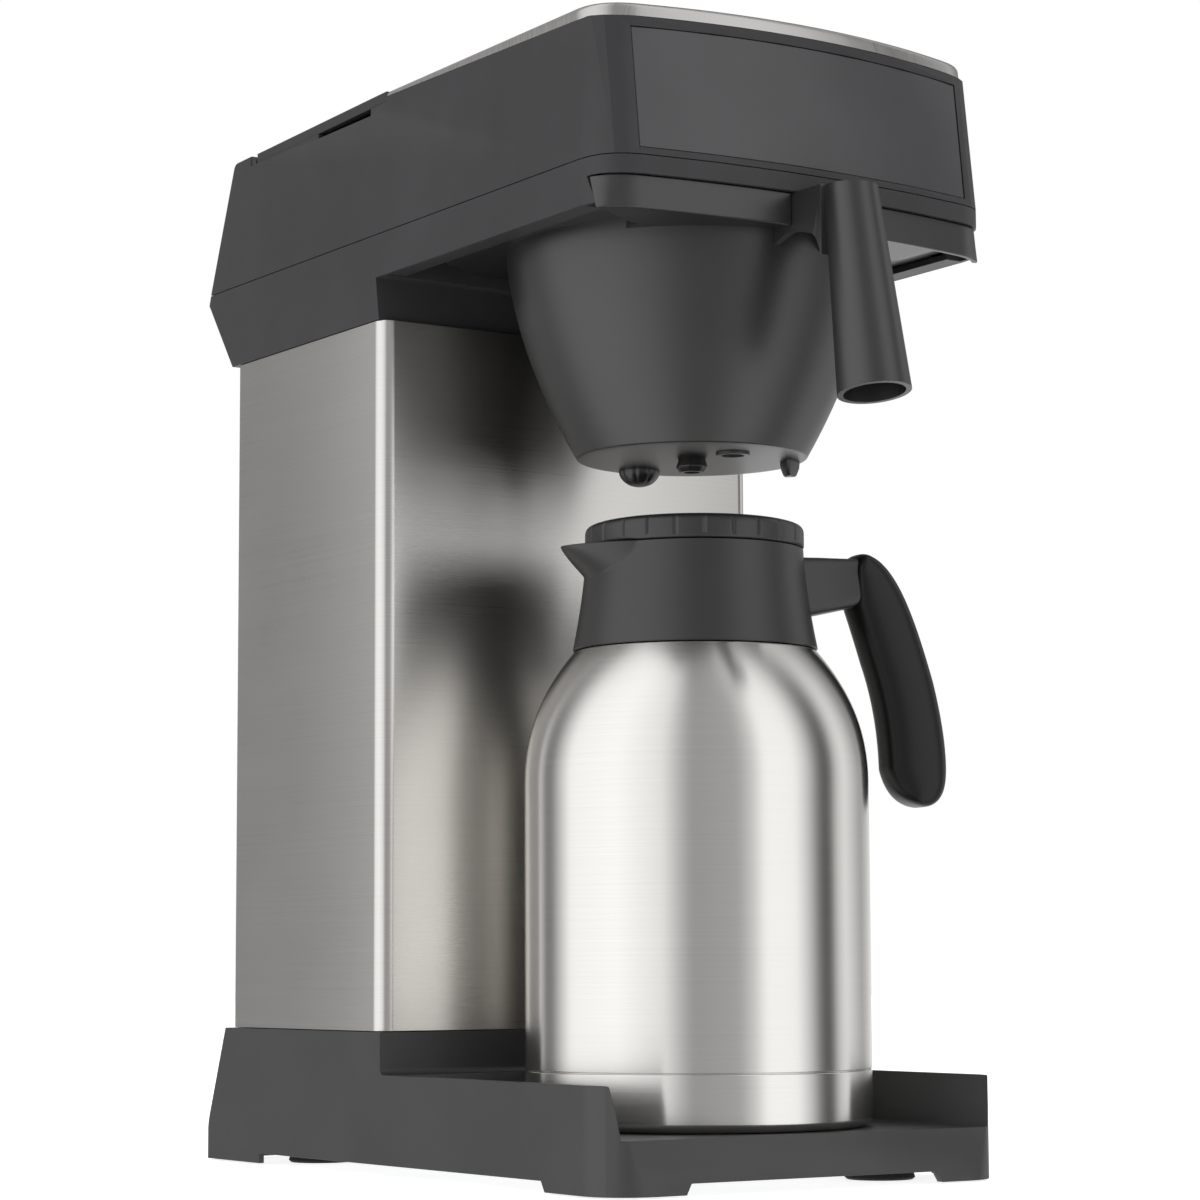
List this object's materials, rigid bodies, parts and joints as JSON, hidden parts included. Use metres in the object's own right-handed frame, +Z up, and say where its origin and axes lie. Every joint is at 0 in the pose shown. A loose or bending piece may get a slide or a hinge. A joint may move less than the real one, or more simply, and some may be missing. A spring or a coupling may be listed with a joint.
{
  "type": "drip coffee maker",
  "caption": "Compact catering filter coffee machine: steel column, dark plastic base and hood, slide-in filter basket and a steel vacuum jug on the tray.",
  "frame": {"origin": "bottom centre of the bounding box, on the table", "axes": "+X to the machine's right seen from the front, -Y out of the front, +Z up"},
  "size_m": [0.2304, 0.4316, 0.51],
  "materials": {
    "housing_plastic": "fine moulded grain, dark grey",
    "basket_plastic": "fine moulded grain, dark grey",
    "fascia_satin": "satin",
    "column_steel": "brushed across",
    "jug_steel": "brushed round",
    "collar_plastic": "satin moulded",
    "grip_plastic": "satin",
    "rubber": "matt",
    "zinc_steel": "zinc plated",
    "silicone": "translucent milky",
    "heater_alloy": "cast",
    "coil_steel": "heat tinted",
    "tank_plastic": "natural, cloudy",
    "white_plastic": "moulded",
    "switch_plastic": "gloss"
  },
  "bodies": {
    "housing": {"base_shell": "housing_plastic", "chassis": "housing_plastic", "hood_shell": "housing_plastic", "fascia_panel": "fascia_satin", "column_shell": "column_steel", "top_plate": "column_steel", "foot_front_left": "rubber", "foot_front_right": "rubber", "foot_rear_left": "rubber", "foot_rear_right": "rubber", "cable_gland": "rubber", "base_plate": "zinc_steel", "rear_cover": "zinc_steel", "heater_bracket": "zinc_steel", "lid_pin_left": "zinc_steel", "lid_pin_right": "zinc_steel", "thermal_fuse": "zinc_steel", "base_screw_front_left": "zinc_steel", "base_screw_front_right": "zinc_steel", "base_screw_rear_left": "zinc_steel", "base_screw_rear_right": "zinc_steel", "cover_screw_lower_left": "zinc_steel", "cover_screw_lower_right": "zinc_steel", "cover_screw_upper_left": "zinc_steel", "cover_screw_upper_right": "zinc_steel", "hose_clamp_tank": "zinc_steel", "hose_clamp_valve_top": "zinc_steel", "hose_clamp_valve_foot": "zinc_steel", "hose_clamp_heater": "zinc_steel", "inlet_hose_upper": "silicone", "inlet_hose_lower": "silicone", "riser_hose": "silicone", "flow_heater": "heater_alloy", "heating_coil": "coil_steel", "water_tank": "tank_plastic", "check_valve": "white_plastic", "spray_head": "white_plastic", "thermostat": "white_plastic", "terminal_block": "white_plastic", "switch_frame": "switch_plastic"},
    "basket": {"filter_basket": "basket_plastic", "basket_handle": "basket_plastic", "basket_grid": "white_plastic"},
    "jug": {"jug_base_cap": "jug_steel", "jug_shell": "jug_steel", "jug_flask_cup": "jug_steel", "jug_flask_sleeve": "jug_steel", "jug_flask_neck": "jug_steel", "jug_collar": "collar_plastic", "jug_grip": "grip_plastic"},
    "jug_seal": {"lid_seal": "silicone"},
    "jug_lid": {"jug_lid": "collar_plastic", "jug_stopper": "collar_plastic"},
    "filler_lid": {"filler_lid": "housing_plastic"},
    "rocker": {"power_rocker": "switch_plastic"}
  },
  "joints": [
    {"name": "basket_slide", "type": "slide", "parent": "housing", "child": "basket", "axis": [0, -1, 0], "range_m": [0, 0.2]},
    {"name": "jug_slide", "type": "slide", "parent": "housing", "child": "jug", "axis": [0, -1, 0], "range_m": [0, 0.2]},
    {"name": "jug_lid_rise", "type": "slide", "parent": "jug", "child": "jug_seal", "axis": [0, 0, 1], "range_m": [0, 0.0021]},
    {"name": "jug_lid_turn", "type": "hinge", "parent": "jug_seal", "child": "jug_lid", "pos_m": [-0.00816, -0.0657, 0.291], "axis": [0, 0, 1], "range_deg": [0, 90]},
    {"name": "filler_lid_hinge", "type": "hinge", "parent": "housing", "child": "filler_lid", "pos_m": [-0.00816, 0.1748, 0.50201], "axis": [-1, 0, 0], "range_deg": [0, 88]},
    {"name": "rocker_tip", "type": "hinge", "parent": "housing", "child": "rocker", "pos_m": [0.09584, 0.0833, 0.4205], "axis": [0, -1, 0], "range_deg": [0, 12]}
  ],
  "couplings": [
    {"joint": "jug_lid_rise", "follows": "jug_lid_turn", "m_per_rad": 0.0012732}
  ]
}
